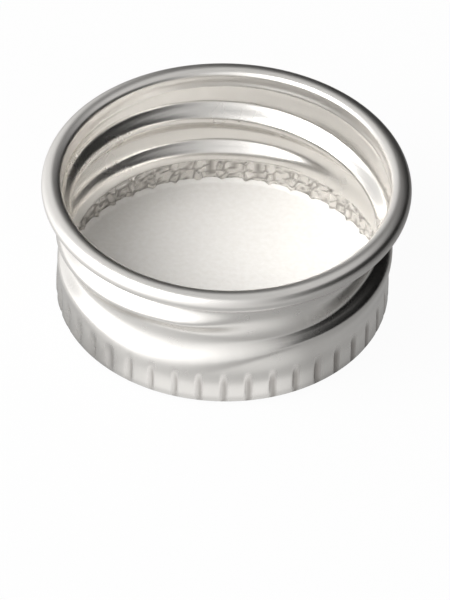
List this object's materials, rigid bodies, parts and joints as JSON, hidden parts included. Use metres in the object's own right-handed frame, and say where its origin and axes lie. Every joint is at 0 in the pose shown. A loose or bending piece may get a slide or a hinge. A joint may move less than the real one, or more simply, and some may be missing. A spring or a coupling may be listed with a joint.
{
  "type": "screw cap",
  "caption": "Shallow round metal screw cap standing mouth up, with a curled rim, rolled thread, knurled band, flat closed end and white foam liner.",
  "frame": {"origin": "middle of the closed end's outer face, on which the cap stands", "axes": "+Z along the cap's axis towards its open mouth; +X and +Y in the closed end's plane, thread starting 30 degrees from +X towards +Y"},
  "size_m": [0.025, 0.025, 0.0106],
  "materials": {
    "aluminium_shell": "satin bare aluminium with fine rolled grain",
    "foam_liner": "matt white closed-cell foam"
  },
  "bodies": {
    "root": {"cap_shell": "aluminium_shell", "liner": "foam_liner"}
  },
  "joints": []
}
